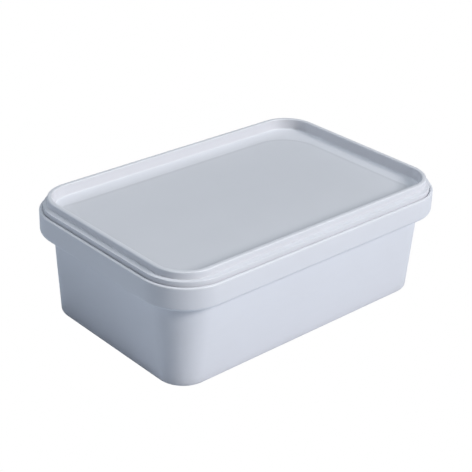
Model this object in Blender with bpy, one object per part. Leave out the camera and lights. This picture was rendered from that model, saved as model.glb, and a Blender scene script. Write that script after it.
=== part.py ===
"""A one-litre ice cream tub with its press-on lid, in metres, with +Z up and the long side along X.

The tub is modelled shut and full. It is solid up to just under the lid, which sits inside the lip of
its collar.
Both pieces are rows of vertices round a rectangle with round corners. Each row lies at some inset
from the collar's outer face, so a section of the wall is a list of (inset, height) pairs."""

import math

import bmesh
import bpy
import numpy as np

MM = 0.001

# Outer sizes, in millimetres like every size below
LENGTH = 184.0
WIDTH = 121.6
HEIGHT = 63.7

# Tub: a drafted wall under a wide collar, whose lip stands round the lid's seat
WALL_FOOT_INSET = 9.4
WALL_TOP_INSET = 6.0
BASE_ROUNDING = 2.2
UNDER_COLLAR_FILLET = 1.0
COLLAR_BOTTOM = 45.4
COLLAR_BOTTOM_ROUNDING = 2.3
LIP_TOP = 57.7
LIP_WIDTH = 1.4
LIP_OUTER_ROUNDING = 0.8
LIP_INNER_ROUNDING = 0.4
SEAT_HEIGHT = 56.8

# Lid: a skirt that stands in the seat, with a narrow rim on its ledge, round a sunken panel
LID_GAP = 0.3
LID_BOTTOM = SEAT_HEIGHT + LID_GAP
SKIRT_INSET = 1.9
LEDGE_HEIGHT = 60.0
LEDGE_ROUNDING = 0.35
RIM_OUTER_INSET = 4.7
RIM_INNER_INSET = 7.2
RIM_FOOT_FILLET = 0.4
RIM_OUTER_ROUNDING = 0.8
RIM_INNER_ROUNDING = 0.7
LID_THICKNESS = 1.3

# Sunken panel: the rim's inner wall turns through a tight fillet into a cove, and the cove into the panel
RECESS_DRAFT = 9.0
FILLET_INSET = 8.87
FILLET_HEIGHT = 58.9
FILLET_RADIUS = 1.0
COVE_RADIUS = 76.0
COVE_STEEP_END = 10.0
COVE_SHALLOW_END = 5.0
CREASE_RADIUS = 5.0

# Corner radius at each inset, read in a straight line between these pairs
WALL_CORNERS = ((0.0, 24.3), (LIP_WIDTH, 23.0), (WALL_TOP_INSET, 20.4), (WALL_FOOT_INSET, 14.4), (12.0, 11.8))
RIM_CORNERS = ((SKIRT_INSET, 22.4), (RIM_OUTER_INSET, 17.8), (8.6, 13.6), (15.8, 17.0))
CORNER_STEPS = 12

# Finish of the moulded plastic
TUB_COLOUR = (0.80, 0.81, 0.84, 1.0)
LID_COLOUR = (0.81, 0.82, 0.85, 1.0)
ROUGHNESS = 0.38
SMOOTH_ANGLE = math.radians(35.0)


def arc(centre, radius, start, end, steps):
    """(inset, height) pairs along an arc. At 0 degrees it points out of the tub, and at 90 up."""
    points = []
    for step in range(steps + 1):
        angle = math.radians(start + (end - start) * step / steps)
        points.append((centre[0] - radius * math.cos(angle), centre[1] + radius * math.sin(angle)))
    return points


def base_and_wall():
    """The tub's section from its base up the drafted wall to the collar's underside."""
    draft = math.degrees(math.atan2(WALL_FOOT_INSET - WALL_TOP_INSET, COLLAR_BOTTOM))
    foot_centre = (WALL_FOOT_INSET + BASE_ROUNDING, BASE_ROUNDING)
    top_centre = (WALL_TOP_INSET - UNDER_COLLAR_FILLET, COLLAR_BOTTOM - UNDER_COLLAR_FILLET)
    return (
        arc(foot_centre, BASE_ROUNDING, -90.0, -draft, 6)
        + arc(top_centre, UNDER_COLLAR_FILLET, 180.0 - draft, 90.0, 3)
    )


def collar():
    """The tub's section round the collar, over its lip and down to the lid's seat."""
    bottom, outer, inner = COLLAR_BOTTOM_ROUNDING, LIP_OUTER_ROUNDING, LIP_INNER_ROUNDING
    return (
        arc((bottom, COLLAR_BOTTOM + bottom), bottom, -90.0, 0.0, 6)
        + arc((outer, LIP_TOP - outer), outer, 0.0, 90.0, 4)
        + arc((LIP_WIDTH - inner, LIP_TOP - inner), inner, 90.0, 180.0, 3)
        + [(LIP_WIDTH, SEAT_HEIGHT)]
    )


def along_normal(centre, distance, angle):
    """The centre of an arc that carries on from one round `centre` with its radius `distance` more."""
    angle = math.radians(angle)
    return (centre[0] + distance * math.cos(angle), centre[1] - distance * math.sin(angle))


def recess(offset=0.0, top=None):
    """The sunken shape from the height `top` in to the panel, moved down and out by `offset`.

    With neither, it is the surface that shows, and it starts where the rim's inner wall ends."""
    start = RECESS_DRAFT
    if top is not None:
        start = math.degrees(math.asin((FILLET_HEIGHT - top) / (FILLET_RADIUS + offset)))
    steep, shallow = COVE_STEEP_END - 90.0, COVE_SHALLOW_END - 90.0
    fillet_centre = (FILLET_INSET, FILLET_HEIGHT)
    cove_centre = along_normal(fillet_centre, COVE_RADIUS - FILLET_RADIUS, steep)
    crease_centre = along_normal(cove_centre, CREASE_RADIUS - COVE_RADIUS, shallow)
    return (
        arc(fillet_centre, FILLET_RADIUS + offset, -start, steep, 6)
        + arc(cove_centre, COVE_RADIUS + offset, steep, shallow, 5)[1:]
        + arc(crease_centre, CREASE_RADIUS + offset, shallow, -90.0, 2)[1:]
    )


def lid_rim():
    """The lid's section up the skirt, over the ledge and over the rim."""
    ledge = (SKIRT_INSET + LEDGE_ROUNDING, LEDGE_HEIGHT - LEDGE_ROUNDING)
    foot = (RIM_OUTER_INSET - RIM_FOOT_FILLET, LEDGE_HEIGHT + RIM_FOOT_FILLET)
    outer = (RIM_OUTER_INSET + RIM_OUTER_ROUNDING, HEIGHT - RIM_OUTER_ROUNDING)
    inner = (RIM_INNER_INSET - RIM_INNER_ROUNDING, HEIGHT - RIM_INNER_ROUNDING)
    return (
        [(SKIRT_INSET, LID_BOTTOM)]
        + arc(ledge, LEDGE_ROUNDING, 0.0, 90.0, 3)
        + arc(foot, RIM_FOOT_FILLET, -90.0, -180.0, 3)
        + arc(outer, RIM_OUTER_ROUNDING, 0.0, 90.0, 5)
        + arc(inner, RIM_INNER_ROUNDING, 90.0, 180.0 - RECESS_DRAFT, 5)
    )


def with_corners(section, corners):
    """The section with the corner radius that belongs to each inset added to its pair."""
    insets, radii = zip(*corners)
    return [(inset, height, float(np.interp(inset, insets, radii))) for inset, height in section]


def row_of_vertices(mesh, inset, height, radius):
    """One closed row round a rectangle with round corners, anticlockwise seen from above."""
    centre_x = LENGTH / 2.0 - inset - radius
    centre_y = WIDTH / 2.0 - inset - radius
    row = []
    for quarter, (side_x, side_y) in enumerate(((1, 1), (-1, 1), (-1, -1), (1, -1))):
        for step in range(CORNER_STEPS + 1):
            angle = math.radians(90.0 * (quarter + step / CORNER_STEPS))
            x = side_x * centre_x + radius * math.cos(angle)
            y = side_y * centre_y + radius * math.sin(angle)
            row.append(mesh.verts.new((x * MM, y * MM, height * MM)))
    return row


def skin(name, section):
    """A closed object whose skin runs through the section's rows, capped at its first and last."""
    mesh = bmesh.new()
    rows = [row_of_vertices(mesh, *point) for point in section]
    for lower, upper in zip(rows, rows[1:]):
        for index in range(len(lower)):
            after = (index + 1) % len(lower)
            mesh.faces.new((lower[index], lower[after], upper[after], upper[index]))
    mesh.faces.new(rows[0][::-1])
    mesh.faces.new(rows[-1])
    bmesh.ops.recalc_face_normals(mesh, faces=mesh.faces)
    data = bpy.data.meshes.new(name)
    mesh.to_mesh(data)
    mesh.free()
    data.shade_smooth()
    data.set_sharp_from_angle(angle=SMOOTH_ANGLE)
    obj = bpy.data.objects.new(name, data)
    bpy.context.scene.collection.objects.link(obj)
    return obj


def moulded_plastic(name, colour):
    """A plain moulded plastic of one colour."""
    material = bpy.data.materials.new(name)
    material.use_nodes = True
    shader = material.node_tree.nodes["Principled BSDF"]
    shader.inputs["Base Color"].default_value = colour
    shader.inputs["Roughness"].default_value = ROUGHNESS
    shader.inputs["Metallic"].default_value = 0.0
    return material


def make_tub():
    """The tub and what fills it, as one solid with a hollow in its top for the lid's panel."""
    outside = with_corners(base_and_wall() + collar(), WALL_CORNERS)
    top = with_corners(recess(LID_THICKNESS + LID_GAP, SEAT_HEIGHT), RIM_CORNERS)
    tub = skin("tub", outside + top)
    tub.data.materials.append(moulded_plastic("tub plastic", TUB_COLOUR))


def make_lid():
    """The lid, from the underside of its panel out to the rim and back in over the top."""
    underside = recess(LID_THICKNESS, LID_BOTTOM)[::-1]
    lid = skin("lid", with_corners(underside + lid_rim() + recess(), RIM_CORNERS))
    lid.data.materials.append(moulded_plastic("lid plastic", LID_COLOUR))


def main():
    """Clear the scene and make both pieces."""
    for obj in list(bpy.data.objects):
        bpy.data.objects.remove(obj, do_unlink=True)
    make_tub()
    make_lid()


main()
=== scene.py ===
"""Dress a shut ice cream tub: fine meshes for the tub and its lid, moulded finishes, and a soft studio.

Both pieces are lofted. A section is a list of (inset, height) pairs in millimetres. Each pair becomes
a row of vertices round a rectangle with round corners, that far in from the collar's outer face. The
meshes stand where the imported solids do, +Z up, with the long side along X.
"""

import logging
import math
from collections.abc import Callable, Mapping
from dataclasses import dataclass
from enum import Enum
from typing import Any

import bmesh
import bpy
from mathutils import Matrix, Vector, noise


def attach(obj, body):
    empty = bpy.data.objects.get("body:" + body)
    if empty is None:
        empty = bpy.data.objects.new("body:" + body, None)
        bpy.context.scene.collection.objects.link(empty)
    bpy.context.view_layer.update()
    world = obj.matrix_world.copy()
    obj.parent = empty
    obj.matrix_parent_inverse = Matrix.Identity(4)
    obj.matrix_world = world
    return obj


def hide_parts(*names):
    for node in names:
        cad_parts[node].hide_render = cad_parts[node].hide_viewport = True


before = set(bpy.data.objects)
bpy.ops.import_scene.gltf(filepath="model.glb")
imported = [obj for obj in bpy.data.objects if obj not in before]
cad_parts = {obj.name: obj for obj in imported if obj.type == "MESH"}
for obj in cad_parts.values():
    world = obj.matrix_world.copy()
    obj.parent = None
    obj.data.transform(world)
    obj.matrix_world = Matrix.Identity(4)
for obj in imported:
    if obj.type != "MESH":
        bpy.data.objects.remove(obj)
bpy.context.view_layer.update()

LOG = logging.getLogger("ice_cream_tub")
MM = 0.001
BODY = "root"
PLASTIC_IOR = 1.49

# In millimetres
LENGTH = 184.0
WIDTH = 121.6
GRAIN_DEPTH = 0.02

Pair = tuple[float, float]
Section = list[Pair]
Triple = tuple[float, float, float]
Number = "Value | float"
WHITE = (1.0, 1.0, 1.0, 1.0)


class Part(Enum):
    """The two pieces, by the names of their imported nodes."""

    TUB = "tub"
    LID = "lid"


class Slot(Enum):
    """The record's material slots."""

    TUB = "tub_plastic"
    LID = "lid_plastic"


class Blend(Enum):
    """How one colour goes over another."""

    MIX = "MIX"
    MULTIPLY = "MULTIPLY"


# ---------------------------------------------------------------------------------------------
# Sections and rows
# ---------------------------------------------------------------------------------------------


@dataclass(frozen=True)
class Turn:
    """An arc of a section. At 0 degrees it points out of the tub, and at 90 degrees up."""

    inset: float
    height: float
    radius: float
    start: float
    end: float
    steps: int

    @classmethod
    def up_and_over(cls, inset: float, height: float, radius: float, steps: int) -> "Turn":
        """Round an upright face over into a level top.

        Args:
            inset: The upright face's inset, in millimetres.
            height: The top's height.
            radius: The rounding's radius.
            steps: How many chords it is cut into.

        Returns:
            The rounding, from the face to the top.
        """
        return cls(inset + radius, height - radius, radius, 0.0, 90.0, steps)

    @classmethod
    def over_and_down(
        cls, inset: float, height: float, radius: float, steps: int, draft: float = 0.0
    ) -> "Turn":
        """Round a level top over into a face that goes down on its inner side.

        Args:
            inset: The face's inset where it starts, in millimetres.
            height: The top's height.
            radius: The rounding's radius.
            steps: How many chords it is cut into.
            draft: How far the face leans from upright, in degrees.

        Returns:
            The rounding, from the top to the face.
        """
        return cls(inset - radius, height - radius, radius, 90.0, 180.0 - draft, steps)

    def pairs(self) -> Section:
        """List the arc's (inset, height) pairs, both ends included.

        Returns:
            The pairs, in millimetres.
        """
        found: Section = []
        for step in range(self.steps + 1):
            angle = math.radians(self.start + (self.end - self.start) * step / self.steps)
            reach = self.radius * math.cos(angle)
            rise = self.radius * math.sin(angle)
            found.append((self.inset - reach, self.height + rise))
        return found

    def carried_on(self, radius: float, end: float, steps: int) -> "Turn":
        """Give the arc that goes on smoothly from this one's end.

        Args:
            radius: The next arc's radius, in millimetres.
            end: Where the next arc ends, in degrees.
            steps: How many chords it is cut into.

        Returns:
            The next arc.
        """
        angle = math.radians(self.end)
        apart = radius - self.radius
        inset = self.inset + apart * math.cos(angle)
        height = self.height - apart * math.sin(angle)
        return Turn(inset, height, radius, self.end, end, steps)

    def offset(self, distance: float) -> "Turn":
        """Give the parallel arc with the same centre.

        Args:
            distance: How much larger its radius is, in millimetres.

        Returns:
            The parallel arc.
        """
        return Turn(self.inset, self.height, self.radius + distance, self.start, self.end, self.steps)


def spaced(start: Pair, end: Pair, count: int) -> Section:
    """Cut the straight run between two pairs, leaving both of them out.

    Args:
        start: The pair before the run.
        end: The pair after it.
        count: How many pairs to put between them.

    Returns:
        The pairs between, evenly spaced.
    """
    shares = [step / (count + 1) for step in range(1, count + 1)]
    return [
        (start[0] + (end[0] - start[0]) * share, start[1] + (end[1] - start[1]) * share)
        for share in shares
    ]


@dataclass(frozen=True)
class Plan:
    """The rectangle with round corners that every row of vertices follows."""

    corners: tuple[Pair, ...]
    length: float = LENGTH
    width: float = WIDTH
    corner_steps: int = 20
    long_steps: int = 26
    short_steps: int = 16

    def corner_radius(self, inset: float) -> float:
        """Read the corner radius at an inset, in a straight line between the given pairs.

        Args:
            inset: Distance in from the collar's outer face, in millimetres.

        Returns:
            The corner radius, in millimetres.
        """
        if inset <= self.corners[0][0]:
            return self.corners[0][1]
        for (low, at_low), (high, at_high) in zip(self.corners, self.corners[1:]):
            if inset <= high:
                return at_low + (at_high - at_low) * (inset - low) / (high - low)
        return self.corners[-1][1]

    def row(self, inset: float, height: float) -> list[Vector]:
        """Place one closed row, anticlockwise seen from above.

        Args:
            inset: Distance in from the collar's outer face, in millimetres.
            height: Height over the base, in millimetres.

        Returns:
            The row's points, in millimetres.
        """
        radius = self.corner_radius(inset)
        centre_x = self.length / 2.0 - inset - radius
        centre_y = self.width / 2.0 - inset - radius
        points: list[Vector] = []
        for quarter, (side_x, side_y) in enumerate(((1, 1), (-1, 1), (-1, -1), (1, -1))):
            arc: list[Vector] = []
            for step in range(self.corner_steps + 1):
                angle = math.radians(90.0 * (quarter + step / self.corner_steps))
                x = side_x * centre_x + radius * math.cos(angle)
                y = side_y * centre_y + radius * math.sin(angle)
                arc.append(Vector((x, y, height)))
            points += arc
            run = self.long_steps if quarter % 2 == 0 else self.short_steps
            step_on = self.side_run(quarter, centre_x, centre_y)
            points += [arc[-1] + step_on * (step / run) for step in range(1, run)]
        return points

    @staticmethod
    def side_run(quarter: int, centre_x: float, centre_y: float) -> Vector:
        """Give the straight run that follows a corner.

        Args:
            quarter: The corner's number, anticlockwise from (+X, +Y).
            centre_x: Half the length between the corners' centres.
            centre_y: Half the width between them.

        Returns:
            The vector from the corner's end to the next corner's start.
        """
        runs = (
            Vector((-2.0 * centre_x, 0.0, 0.0)),
            Vector((0.0, -2.0 * centre_y, 0.0)),
            Vector((2.0 * centre_x, 0.0, 0.0)),
            Vector((0.0, 2.0 * centre_y, 0.0)),
        )
        return runs[quarter]


@dataclass(frozen=True)
class Relief:
    """How far moulded plastic departs from its drawing: low, slow swells in a wall or a panel."""

    depth: float
    pitch: float
    seed: float

    def swell(self, point: Vector) -> float:
        """Read the swell at a point.

        Args:
            point: A point on the piece, in millimetres.

        Returns:
            The swell, from -depth to depth, in millimetres.
        """
        return self.depth * noise.noise(point / self.pitch + Vector((self.seed, 0.0, 0.0)))


@dataclass(frozen=True)
class Run:
    """A stretch of a piece's section whose rows all follow one plan."""

    plan: Plan
    section: Section

    def rows(self) -> list[list[Vector]]:
        """Place the stretch's rows, in millimetres."""
        return [self.plan.row(inset, height) for inset, height in self.section]


@dataclass(frozen=True)
class Loft:
    """Turns runs of rows into a closed piece."""

    part: Part
    runs: tuple[Run, ...]
    sharp_angle: float = math.radians(40.0)

    def build(self, shift: Callable[[Vector], Vector]) -> bpy.types.Object:
        """Join the rows, cap the first and last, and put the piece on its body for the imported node.

        Args:
            shift: Gives each point's small move off its drawn place, in millimetres.

        Returns:
            The finished object.
        """
        mesh = bmesh.new()
        rows = []
        for run in self.runs:
            for points in run.rows():
                rows.append([mesh.verts.new((point + shift(point)) * MM) for point in points])
        for lower, upper in zip(rows, rows[1:]):
            for index, corner in enumerate(lower):
                after = (index + 1) % len(lower)
                mesh.faces.new((corner, lower[after], upper[after], upper[index]))
        mesh.faces.new(rows[0][::-1])
        mesh.faces.new(rows[-1])
        bmesh.ops.recalc_face_normals(mesh, faces=mesh.faces)
        data = bpy.data.meshes.new(f"{self.part.value}_skin")
        mesh.to_mesh(data)
        mesh.free()
        data.shade_smooth()
        data.set_sharp_from_angle(angle=self.sharp_angle)
        piece = bpy.data.objects.new(f"{self.part.value}_skin", data)
        bpy.context.scene.collection.objects.link(piece)
        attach(piece, BODY)
        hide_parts(self.part.value)
        LOG.info("%s: %d faces", piece.name, len(data.polygons))
        return piece


# ---------------------------------------------------------------------------------------------
# Shader maths
# ---------------------------------------------------------------------------------------------


class Value:
    """A number that varies over a surface. Arithmetic on it adds Math nodes."""

    def __init__(self, graph: "Graph", socket: bpy.types.NodeSocket) -> None:
        """Wrap a socket.

        Args:
            graph: The graph that holds the socket's node.
            socket: The output socket to wrap.
        """
        self.graph = graph
        self.socket = socket

    def __add__(self, other: Number) -> "Value":
        """Add a number or a value."""
        return self.graph.math("ADD", self, other)

    def __radd__(self, other: Number) -> "Value":
        """Add this to a number."""
        return self.graph.math("ADD", other, self)

    def __sub__(self, other: Number) -> "Value":
        """Take a number or a value away."""
        return self.graph.math("SUBTRACT", self, other)

    def __rsub__(self, other: Number) -> "Value":
        """Take this away from a number."""
        return self.graph.math("SUBTRACT", other, self)

    def __mul__(self, other: Number) -> "Value":
        """Multiply by a number or a value."""
        return self.graph.math("MULTIPLY", self, other)

    def __rmul__(self, other: Number) -> "Value":
        """Multiply a number by this."""
        return self.graph.math("MULTIPLY", other, self)

    def __abs__(self) -> "Value":
        """Drop the sign."""
        return self.graph.math("ABSOLUTE", self)

    def at_least(self, other: Number) -> "Value":
        """Give the larger of this and another."""
        return self.graph.math("MAXIMUM", self, other)

    def at_most(self, other: Number) -> "Value":
        """Give the smaller of this and another."""
        return self.graph.math("MINIMUM", self, other)

    def root(self) -> "Value":
        """Give the square root."""
        return self.graph.math("SQRT", self)

    def rising(self, low: float, high: float) -> "Value":
        """Turn this into a soft step.

        Args:
            low: Where the step is 0.
            high: Where it is 1. It may be the smaller of the two, for a falling step.

        Returns:
            A value from 0 to 1.
        """
        step = self.graph.node(
            "ShaderNodeMapRange",
            {"interpolation_type": "SMOOTHSTEP", "clamp": True},
            {"Value": self, "From Min": low, "From Max": high, "To Min": 0.0, "To Max": 1.0},
        )
        return Value(self.graph, step.outputs["Result"])


@dataclass
class Surface:
    """What a finish says about a point: its colour, its roughness and the height of its grain."""

    colour: bpy.types.NodeSocket
    roughness: Value
    height: Value


class Nodes:
    """The nodes of a material or a world, and the only way that nodes are added to them."""

    def __init__(self, owner: bpy.types.Material | bpy.types.World) -> None:
        """Empty the owner's node tree.

        Args:
            owner: The material or world.
        """
        owner.use_nodes = True
        self.tree = owner.node_tree
        self.tree.nodes.clear()

    def node(
        self,
        kind: str,
        settings: Mapping[str, Any] | None = None,
        values: Mapping[str | int, Any] | None = None,
    ) -> bpy.types.Node:
        """Add one node.

        Args:
            kind: The node's type.
            settings: Its own settings, which are set first.
            values: For each input socket, a number, a colour, a socket or a Value to link.

        Returns:
            The node.
        """
        made = self.tree.nodes.new(kind)
        for name, setting in (settings or {}).items():
            setattr(made, name, setting)
        for name, value in (values or {}).items():
            if isinstance(value, Value):
                value = value.socket
            if isinstance(value, bpy.types.NodeSocket):
                self.tree.links.new(value, made.inputs[name])
            else:
                made.inputs[name].default_value = value
        return made

    def seen_as(self, lit: bpy.types.NodeSocket, shown: bpy.types.NodeSocket) -> bpy.types.NodeSocket:
        """Show the camera one shader, and let every other ray meet another.

        Args:
            lit: The shader that other rays meet.
            shown: The shader that the camera sees.

        Returns:
            The mixed shader.
        """
        rays = self.node("ShaderNodeLightPath")
        mix = self.node("ShaderNodeMixShader", values={0: rays.outputs["Is Camera Ray"], 1: lit, 2: shown})
        return mix.outputs[0]


class Graph(Nodes):
    """The nodes of one piece's material."""

    def __init__(self, name: str) -> None:
        """Start an empty material.

        Args:
            name: The material's name.
        """
        self.material = bpy.data.materials.new(name)
        super().__init__(self.material)
        self.place = self.node("ShaderNodeTexCoord").outputs["Object"]
        apart = self.node("ShaderNodeSeparateXYZ", values={"Vector": self.place})
        self.x = Value(self, apart.outputs["X"])
        self.y = Value(self, apart.outputs["Y"])
        self.z = Value(self, apart.outputs["Z"])

    def math(self, operation: str, *terms: Number) -> Value:
        """Add a Math node.

        Args:
            operation: The node's operation.
            terms: Its inputs, in order.

        Returns:
            The result.
        """
        made = self.node("ShaderNodeMath", {"operation": operation}, dict(enumerate(terms)))
        return Value(self, made.outputs[0])

    def stretched(self, scale: Triple) -> bpy.types.NodeSocket:
        """Scale the place on the piece along each axis.

        Args:
            scale: The factor for X, Y and Z.

        Returns:
            The scaled vector.
        """
        made = self.node("ShaderNodeVectorMath", {"operation": "MULTIPLY"}, {0: self.place, 1: scale})
        return made.outputs[0]

    def cloud(self, pitch: float, detail: float, scale: Triple) -> Value:
        """Read smooth noise.

        Args:
            pitch: The size of its lumps, in millimetres.
            detail: How many finer octaves it has.
            scale: How much it is squeezed along each axis.

        Returns:
            The noise, centred on 0 and mostly within 0.5 of it.
        """
        made = self.node(
            "ShaderNodeTexNoise",
            {"noise_dimensions": "3D"},
            {"Vector": self.stretched(scale), "Scale": 1.0 / (pitch * MM), "Detail": detail},
        )
        return Value(self, made.outputs["Fac"]) - 0.5

    def mixed(self, share: Number, under: Any, over: Any, blend: Blend = Blend.MIX) -> bpy.types.NodeSocket:
        """Mix two colours.

        Args:
            share: How much of the second shows, from 0 to 1.
            under: The first colour, or a socket.
            over: The second colour, or a socket.
            blend: How the second goes over the first.

        Returns:
            The mixed colour.
        """
        # The node's sockets for colours are its inputs 6 and 7 and its output 2
        made = self.node(
            "ShaderNodeMix",
            {"data_type": "RGBA", "blend_type": blend.value, "clamp_factor": True},
            {0: share, 6: under, 7: over},
        )
        return made.outputs[2]

    def shaded(self, colour: Any, amount: Value) -> bpy.types.NodeSocket:
        """Make a colour lighter or darker.

        Args:
            colour: The colour, or a socket.
            amount: What it is multiplied by.

        Returns:
            The shaded colour.
        """
        grey = self.node("ShaderNodeCombineXYZ", values={"X": amount, "Y": amount, "Z": amount})
        return self.mixed(1.0, colour, grey.outputs[0], Blend.MULTIPLY)

    def between(self, share: Value, under: Surface, over: Surface) -> Surface:
        """Blend two surfaces.

        Args:
            share: Where the second shows, from 0 to 1.
            under: The first surface.
            over: The second surface.

        Returns:
            The blended surface.
        """
        rest = 1.0 - share
        return Surface(
            self.mixed(share, under.colour, over.colour),
            under.roughness * rest + over.roughness * share,
            under.height * rest + over.height * share,
        )

    def rectangle(self, middle_x: float, half_x: float, half_y: float, radius: Number) -> Value:
        """Measure how far out of a rectangle with round corners the place is, seen from above.

        Args:
            middle_x: Where the rectangle's middle lies along X, in millimetres.
            half_x: Half its length.
            half_y: Half its width.
            radius: Its corner radius, which may vary from corner to corner.

        Returns:
            The distance in metres, less than 0 inside.
        """
        out_x = abs(self.x - middle_x * MM) - half_x * MM + radius * MM
        out_y = abs(self.y) - half_y * MM + radius * MM
        far_x = out_x.at_least(0.0)
        far_y = out_y.at_least(0.0)
        corner = (far_x * far_x + far_y * far_y).root()
        return corner + out_x.at_least(out_y).at_most(0.0) - radius * MM

    def plastic(self, surface: Surface) -> bpy.types.Material:
        """Close the graph with a plastic shader.

        Args:
            surface: What the surface looks like. A grain of height 1 is GRAIN_DEPTH deep.

        Returns:
            The finished material.
        """
        bump = self.node(
            "ShaderNodeBump",
            values={"Strength": 1.0, "Distance": GRAIN_DEPTH * MM, "Height": surface.height},
        )
        shader = self.node(
            "ShaderNodeBsdfPrincipled",
            values={
                "Base Color": surface.colour,
                "Roughness": surface.roughness,
                "Normal": bump.outputs[0],
                "IOR": PLASTIC_IOR,
            },
        )
        self.node("ShaderNodeOutputMaterial", values={"Surface": shader.outputs[0]})
        return self.material


# ---------------------------------------------------------------------------------------------
# Finishes
# ---------------------------------------------------------------------------------------------


@dataclass(frozen=True)
class Layer:
    """One layer of smooth noise: the size of its lumps in millimetres, and how strongly it shows."""

    pitch: float
    strength: float
    detail: float = 2.0
    squeeze: Triple = (1.0, 1.0, 1.0)

    def over(self, graph: Graph) -> Value:
        """Read the layer on a piece, centred on 0."""
        return graph.cloud(self.pitch, self.detail, self.squeeze) * self.strength


@dataclass(frozen=True)
class MouldedPlastic:
    """A white moulded plastic, with the faint cloud, flow and grain that its mould gives it."""

    colour: Triple
    roughness: float
    cloud: Layer = Layer(38.0, 0.03, 1.0)
    flow: Layer = Layer(3.2, 0.02, 2.0, (0.22, 0.22, 1.0))
    dull_patches: Layer = Layer(17.0, 0.14, 3.0)
    dull_specks: Layer = Layer(1.1, 0.05)
    peel: Layer = Layer(1.5, 0.5, 1.0)
    grain: Layer = Layer(0.35, 0.1)

    def surface(self, graph: Graph) -> Surface:
        """Lay the plastic over a piece.

        Args:
            graph: The piece's material graph.

        Returns:
            The plastic's surface.
        """
        tone = 1.0 + self.cloud.over(graph) + self.flow.over(graph)
        colour = graph.shaded((*self.colour, 1.0), tone)
        roughness = self.roughness + self.dull_patches.over(graph) + self.dull_specks.over(graph)
        height = self.peel.over(graph) + self.grain.over(graph)
        return Surface(colour, roughness, height)


@dataclass(frozen=True)
class Marks:
    """Rubbed marks that run one way: where their noise starts to show, and where it shows in full."""

    pitch: float
    squeeze: Triple
    faint: float
    full: float
    detail: float = 3.0

    def over(self, graph: Graph) -> Value:
        """Read the marks on a piece, from 0 to 1."""
        return graph.cloud(self.pitch, self.detail, self.squeeze).rising(self.faint, self.full)


@dataclass(frozen=True)
class Scuffs:
    """Fine rubbed marks both ways, lighter and rougher than what they cross."""

    along: Marks = Marks(0.9, (0.12, 1.0, 1.0), 0.13, 0.24)
    across: Marks = Marks(0.8, (1.0, 0.14, 1.0), 0.14, 0.25)
    strength: float = 0.5
    lighter: float = 0.05
    rougher: float = 0.12
    depth: float = 0.3

    def over(self, graph: Graph, surface: Surface, where: Number) -> Surface:
        """Rub a surface.

        Args:
            graph: The piece's material graph.
            surface: The surface to rub.
            where: How strongly it is rubbed, from 0 to 1.

        Returns:
            The rubbed surface.
        """
        marks = self.along.over(graph).at_least(self.across.over(graph)) * where * self.strength
        return Surface(
            graph.shaded(surface.colour, 1.0 + marks * self.lighter),
            surface.roughness + marks * self.rougher,
            surface.height - marks * self.depth,
        )


@dataclass(frozen=True)
class Edge:
    """A band along an edge, from one height to another, where a piece is rubbed more and made a little
    lighter or darker. Where it is made lighter, that is partly rubbing and partly painted light shining
    through the thin plastic.
    """

    none: float
    full: float
    wear: float
    tint: float

    def mask(self, graph: Graph) -> Value:
        """Read how far into the band a piece is, from 0 to 1."""
        return graph.z.rising(self.none * MM, self.full * MM)


# ---------------------------------------------------------------------------------------------
# What both pieces follow
# ---------------------------------------------------------------------------------------------


@dataclass(frozen=True)
class Recess:
    """The lid's sunken shape: a tight fillet, a cove and a crease down to the level panel."""

    fillet: Turn = Turn(8.87, 58.9, 1.0, -9.0, -80.0, 12)
    cove_radius: float = 76.0
    cove_end: float = -85.0
    crease_radius: float = 5.0

    def section(self, offset: float = 0.0, top: float | None = None) -> Section:
        """List the shape from its top in to the panel.

        Args:
            offset: How far below the surface that shows, in millimetres.
            top: The height to start at. Without it the shape starts at the rim's inner wall.

        Returns:
            The section, in millimetres.
        """
        fillet = self.fillet.offset(offset)
        if top is not None:
            start = -math.degrees(math.asin((fillet.height - top) / fillet.radius))
            fillet = Turn(fillet.inset, fillet.height, fillet.radius, start, fillet.end, fillet.steps)
        cove = self.fillet.carried_on(self.cove_radius, self.cove_end, steps=8)
        crease = cove.carried_on(self.crease_radius, -90.0, steps=4)
        return fillet.pairs() + cove.offset(offset).pairs()[1:] + crease.offset(offset).pairs()[1:]


# Each pair is an inset and the corner radius there, in millimetres
WALL_PLAN = Plan(((0.0, 24.3), (1.4, 23.0), (6.0, 20.4), (9.4, 14.4), (12.0, 11.8)))
LID_PLAN = Plan(((1.9, 22.4), (4.7, 17.8), (8.6, 13.6), (15.8, 17.0), (20.0, 17.0), (58.0, 2.0)))


# ---------------------------------------------------------------------------------------------
# The tub
# ---------------------------------------------------------------------------------------------


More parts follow.
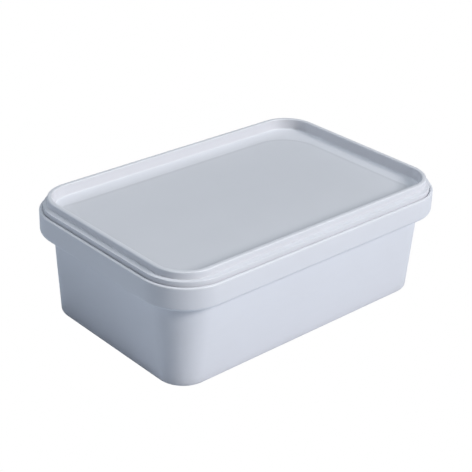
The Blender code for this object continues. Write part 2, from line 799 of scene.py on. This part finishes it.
@dataclass(frozen=True)
class Tub:
    """The tub: drafted walls under a deep collar, whose lip stands round the lid's seat.

    Its sizes are in millimetres, and its heights are over its base.
    """

    wall_foot: float = 9.4
    wall_top: float = 6.0
    base_rounding: float = 2.2
    under_fillet: float = 1.0
    collar_bottom: float = 45.4
    collar_rounding: float = 2.3
    lip_top: float = 57.7
    lip_width: float = 1.4
    lip_outer: float = 0.8
    lip_inner: float = 0.4
    seat: float = 56.8
    under_lid: float = 1.6
    recess: Recess = Recess()
    wall_relief: Relief = Relief(0.16, 34.0, 3.7)
    relief_from: float = 4.0
    relief_to: float = 42.4
    plastic: MouldedPlastic = MouldedPlastic((0.68, 0.682, 0.725), 0.36)
    rubbed: float = 0.25
    foot_edge: Edge = Edge(6.0, 1.0, 0.6, -0.03)
    lip_edge: Edge = Edge(56.5, 57.7, 0.4, 0.03)

    def wall(self) -> Section:
        """List the section from the base up the drafted wall to the collar's underside."""
        draft = math.degrees(math.atan2(self.wall_foot - self.wall_top, self.collar_bottom))
        foot_inset = self.wall_foot + self.base_rounding
        fillet_inset = self.wall_top - self.under_fillet
        fillet_height = self.collar_bottom - self.under_fillet
        foot = Turn(foot_inset, self.base_rounding, self.base_rounding, -90.0, -draft, steps=8).pairs()
        top = Turn(fillet_inset, fillet_height, self.under_fillet, 180.0 - draft, 90.0, steps=5).pairs()
        return foot + spaced(foot[-1], top[0], count=13) + top

    def collar(self) -> Section:
        """List the section round the collar, over its lip and down to the lid's seat."""
        low = self.collar_bottom + self.collar_rounding
        under = Turn(self.collar_rounding, low, self.collar_rounding, -90.0, 0.0, steps=10).pairs()
        outer = Turn.up_and_over(0.0, self.lip_top, self.lip_outer, steps=6).pairs()
        inner = Turn.over_and_down(self.lip_width, self.lip_top, self.lip_inner, steps=4).pairs()
        face = spaced(under[-1], outer[0], count=3)
        return under + face + outer + inner + [(self.lip_width, self.seat)]

    def settle(self, point: Vector) -> Vector:
        """Swell the walls a little, and leave the base and the collar as drawn.

        Args:
            point: A drawn point, in millimetres.

        Returns:
            Its move, in millimetres.
        """
        share = (point.z - self.relief_from) / (self.relief_to - self.relief_from)
        if not 0.0 < share < 1.0:
            return Vector()
        outwards = Vector((point.x / LENGTH, point.y / WIDTH, 0.0)).normalized()
        return outwards * self.wall_relief.swell(point) * math.sin(math.pi * share)

    def finish(self) -> bpy.types.Material:
        """Make the tub's material.

        Returns:
            Satin plastic, rubbed along its foot and lip, a little darker towards the foot, and lighter at
            the lip, partly from rubbing and partly from painted light shining through the thin lip.
        """
        graph = Graph(Slot.TUB.value)
        surface = self.plastic.surface(graph)
        foot = self.foot_edge.mask(graph)
        lip = self.lip_edge.mask(graph)
        wear = self.rubbed + foot * self.foot_edge.wear + lip * self.lip_edge.wear
        surface = Scuffs().over(graph, surface, wear)
        # Lighter at the lip, partly rubbing and partly painted light shining through the thin plastic; a
        # little darker towards the foot
        tone = 1.0 + lip * self.lip_edge.tint + foot * self.foot_edge.tint
        surface.colour = graph.shaded(surface.colour, tone)
        return graph.plastic(surface)

    def build(self) -> None:
        """Build the tub and dress it."""
        outside = Run(WALL_PLAN, self.wall() + self.collar())
        hollow = Run(LID_PLAN, self.recess.section(self.under_lid, self.seat))
        piece = Loft(Part.TUB, (outside, hollow)).build(self.settle)
        piece.data.materials.append(self.finish())


# ---------------------------------------------------------------------------------------------
# The lid
# ---------------------------------------------------------------------------------------------


@dataclass(frozen=True)
class Lid:
    """The lid: a skirt in the collar's seat, a narrow rim on its ledge, and a sunken panel.

    Its sizes are in millimetres, and its heights are over the tub's base.
    """

    bottom: float = 57.1
    skirt: float = 1.9
    ledge: float = 60.0
    ledge_rounding: float = 0.35
    rim_outer: float = 4.7
    rim_inner: float = 7.2
    rim_top: float = 63.7
    foot_fillet: float = 0.4
    outer_rounding: float = 0.8
    inner_rounding: float = 0.7
    thickness: float = 1.3
    recess: Recess = Recess()
    panel_inset: float = 15.8
    panel_start: float = 17.0
    panel_end: float = 58.0
    panel_rows: int = 16
    panel_relief: Relief = Relief(0.22, 46.0, 9.1)
    relief_reach: float = 22.0
    plastic: MouldedPlastic = MouldedPlastic((0.68, 0.682, 0.725), 0.33)
    rubbed: float = 0.3
    crest_edge: Edge = Edge(62.8, 63.7, 0.5, 0.03)
    panel_plastic: MouldedPlastic = MouldedPlastic(
        (0.625, 0.628, 0.667), 0.5, peel=Layer(1.5, 0.35, 1.0), grain=Layer(0.35, 0.5)
    )
    grain_inset: float = 15.3
    grain_reach: float = 2.2
    grain_corner: float = 4.0
    grain_round_corner: float = 21.0
    grain_softness: float = 0.6
    # The band in from the grained panel's edge, in millimetres, and how strong the painted shade along the
    # crease is
    crease_from: float = 2.6
    crease_to: float = 0.8
    painted_crease_shade: float = 0.06

    def rim(self) -> Section:
        """List the section up the skirt, over the ledge and over the rim."""
        draft = -self.recess.fillet.start
        fillet_inset = self.rim_outer - self.foot_fillet
        fillet_height = self.ledge + self.foot_fillet
        ledge = Turn.up_and_over(self.skirt, self.ledge, self.ledge_rounding, steps=5).pairs()
        foot = Turn(fillet_inset, fillet_height, self.foot_fillet, -90.0, -180.0, steps=5).pairs()
        outer = Turn.up_and_over(self.rim_outer, self.rim_top, self.outer_rounding, steps=8).pairs()
        inner = Turn.over_and_down(self.rim_inner, self.rim_top, self.inner_rounding, steps=8, draft=draft)
        return [(self.skirt, self.bottom)] + ledge + foot + outer + inner.pairs()

    def panel(self, height: float) -> Section:
        """List the rows that close a level panel.

        Args:
            height: The panel's height, in millimetres.

        Returns:
            The rows' pairs, from its edge in to its middle.
        """
        start, end = (self.panel_start, height), (self.panel_end, height)
        return [start] + spaced(start, end, self.panel_rows) + [end]

    def settle(self, point: Vector) -> Vector:
        """Swell the panel a little, and leave the rest as drawn.

        Args:
            point: A drawn point, in millimetres.

        Returns:
            Its move, in millimetres.
        """
        inside_x = LENGTH / 2.0 - self.panel_inset - abs(point.x)
        inside_y = WIDTH / 2.0 - self.panel_inset - abs(point.y)
        depth = min(inside_x, inside_y, self.relief_reach) / self.relief_reach
        if depth <= 0.0:
            return Vector()
        soft = depth * depth * (3.0 - 2.0 * depth)
        flat = Vector((point.x, point.y, 0.0))
        return Vector((0.0, 0.0, self.panel_relief.swell(flat) * soft))

    def finish(self) -> bpy.types.Material:
        """Make the lid's material.

        Returns:
            Satin plastic with a finely grained, more matt panel.
        """
        graph = Graph(Slot.LID.value)
        outside = self.outside_grain(graph)
        panel = outside.rising(self.grain_softness * MM, -self.grain_softness * MM)
        # Painted shade: the panel is made darker in a narrow band just inside its edge, along the crease
        crease = panel * outside.rising(-self.crease_from * MM, -self.crease_to * MM)
        surface = graph.between(panel, self.plastic.surface(graph), self.panel_plastic.surface(graph))
        surface.colour = graph.shaded(surface.colour, 1.0 - crease * self.painted_crease_shade)
        crest = self.crest_edge.mask(graph)
        surface = Scuffs().over(graph, surface, self.rubbed + crest * self.crest_edge.wear)
        # Lighter at the crest, partly rubbing and partly painted light shining through the thin rim
        surface.colour = graph.shaded(surface.colour, 1.0 + crest * self.crest_edge.tint)
        return graph.plastic(surface)

    def outside_grain(self, graph: Graph) -> Value:
        """Measure how far outside the grained panel the place is.

        The grain reaches nearer the rim at the -X end, and its (+X, +Y) corner is rounder.

        Args:
            graph: The lid's material graph.

        Returns:
            The distance in metres, less than 0 on the grain.
        """
        shift = self.grain_reach / 2.0
        half_x = LENGTH / 2.0 - self.grain_inset + shift
        half_y = WIDTH / 2.0 - self.grain_inset
        rounder = graph.x.rising(-MM, MM) * graph.y.rising(-MM, MM)
        corner = self.grain_corner + rounder * (self.grain_round_corner - self.grain_corner)
        return graph.rectangle(-shift, half_x, half_y, corner)

    def build(self) -> None:
        """Build the lid and dress it."""
        shown = self.recess.section()
        under = self.recess.section(self.thickness, self.bottom)
        lower = under + self.panel(under[-1][1])
        upper = shown + self.panel(shown[-1][1])
        whole = Run(LID_PLAN, lower[::-1] + self.rim() + upper)
        piece = Loft(Part.LID, (whole,)).build(self.settle)
        piece.data.materials.append(self.finish())


# ---------------------------------------------------------------------------------------------
# The studio
# ---------------------------------------------------------------------------------------------


@dataclass(frozen=True)
class SoftBox:
    """A square light that points at the tub. Its place, size and aim are in metres."""

    name: str
    place: Triple
    size: float
    watts: float
    colour: Triple = (1.0, 1.0, 1.0)
    aim: Triple = (0.0, 0.0, 0.04)

    def build(self) -> None:
        """Hang the light."""
        data = bpy.data.lights.new(self.name, "AREA")
        data.shape = "SQUARE"
        data.size = self.size
        data.energy = self.watts
        data.color = self.colour
        light = bpy.data.objects.new(self.name, data)
        direction = Vector(self.aim) - Vector(self.place)
        turn = direction.to_track_quat("-Z", "Y").to_matrix().to_4x4()
        light.matrix_world = Matrix.Translation(self.place) @ turn
        bpy.context.scene.collection.objects.link(light)


@dataclass(frozen=True)
class Viewpoint:
    """The camera, by the angles it looks from.

    Its distance and slide are in units of half the tub's length. Its lift is in metres, and its lens and
    sensor are in millimetres.
    """

    azimuth: float = -42.9064
    elevation: float = 27.1531
    roll: float = 2.1498
    distance: float = 7.1007
    slide: Pair = (-0.0097, 0.3324)
    lift: float = 0.0004
    lens: float = 94.97
    sensor: float = 36.0

    def build(self) -> None:
        """Place the camera and make it the scene's own."""
        azimuth, elevation = math.radians(self.azimuth), math.radians(self.elevation)
        level = math.cos(elevation)
        back = Vector((math.sin(azimuth) * level, -math.cos(azimuth) * level, math.sin(elevation)))
        right = Vector((0.0, 0.0, 1.0)).cross(back).normalized()
        up = back.cross(right)
        cosine, sine = math.cos(math.radians(self.roll)), math.sin(math.radians(self.roll))
        rolled_right = right * cosine + up * sine
        rolled_up = up * cosine - right * sine
        away = back * self.distance + rolled_right * self.slide[0] + rolled_up * self.slide[1]
        place = away * (LENGTH / 2.0 * MM) + Vector((0.0, 0.0, self.lift))
        data = bpy.data.cameras.new("view")
        data.sensor_width = self.sensor
        data.lens = self.lens
        camera = bpy.data.objects.new("view", data)
        axes = Matrix((rolled_right, rolled_up, back)).transposed().to_4x4()
        camera.matrix_world = Matrix.Translation(place) @ axes
        bpy.context.scene.collection.objects.link(camera)
        bpy.context.scene.camera = camera


@dataclass(frozen=True)
class Table:
    """The table the tub stands on, in metres. It looks white, and gives light back as pale grey does."""

    radius: float = 3.0
    drop: float = 0.0002
    segments: int = 64
    colour: Triple = (0.64, 0.69, 0.76)
    roughness: float = 0.8

    def build(self) -> None:
        """Lay the table."""
        mesh = bmesh.new()
        bmesh.ops.create_circle(mesh, cap_ends=True, segments=self.segments, radius=self.radius)
        bmesh.ops.translate(mesh, verts=mesh.verts, vec=(0.0, 0.0, -self.drop))
        data = bpy.data.meshes.new("table")
        mesh.to_mesh(data)
        mesh.free()
        table = bpy.data.objects.new("table", data)
        bpy.context.scene.collection.objects.link(table)
        data.materials.append(self.finish())

    def finish(self) -> bpy.types.Material:
        """Make the table's material.

        Returns:
            Plain white to look at, and pale grey in the light that it gives back.
        """
        material = bpy.data.materials.new("table_white")
        nodes = Nodes(material)
        paint = {"Base Color": (*self.colour, 1.0), "Roughness": self.roughness}
        lit = nodes.node("ShaderNodeBsdfPrincipled", values=paint)
        white = nodes.node("ShaderNodeEmission", values={"Color": WHITE, "Strength": 1.0})
        seen = nodes.seen_as(lit.outputs[0], white.outputs[0])
        nodes.node("ShaderNodeOutputMaterial", values={"Surface": seen})
        return material


@dataclass(frozen=True)
class Room:
    """The room round the table. It looks white, and gives only a little light."""

    colour: Triple = (0.75, 0.95, 1.25)
    strength: float = 0.02

    def build(self) -> None:
        """Put the room round the scene."""
        world = bpy.data.worlds.new("room")
        nodes = Nodes(world)
        glow = {"Color": (*self.colour, 1.0), "Strength": self.strength}
        lit = nodes.node("ShaderNodeBackground", values=glow)
        white = nodes.node("ShaderNodeBackground", values={"Color": WHITE, "Strength": 1.0})
        seen = nodes.seen_as(lit.outputs[0], white.outputs[0])
        nodes.node("ShaderNodeOutputWorld", values={"Surface": seen})
        bpy.context.scene.world = world


@dataclass(frozen=True)
class Studio:
    """A white table in a white room, with one light in front, one overhead and one behind."""

    lights: tuple[SoftBox, ...] = (
        SoftBox("key_light", (0.76, -1.98, 1.365), 0.8, 52.5),
        SoftBox("top_light", (0.0, 0.0, 2.54), 1.0, 25.0, (0.914, 1.015, 1.067)),
        SoftBox("back_light", (-1.51, 1.80, 0.895), 1.0, 14.5, (0.92, 1.00, 1.11)),
    )
    room: Room = Room()
    table: Table = Table()
    viewpoint: Viewpoint = Viewpoint()

    def build(self) -> None:
        """Build the table, the lights, the room and the camera."""
        self.viewpoint.build()
        self.room.build()
        self.table.build()
        for light in self.lights:
            light.build()
        bpy.context.scene.view_settings.view_transform = "Standard"
        LOG.info("studio: %d lights", len(self.lights))


def main() -> None:
    """Build the studio, the tub and the lid."""
    logging.basicConfig(level=logging.INFO, format="%(message)s")
    Studio().build()
    Tub().build()
    Lid().build()


if __name__ == "__main__":
    main()
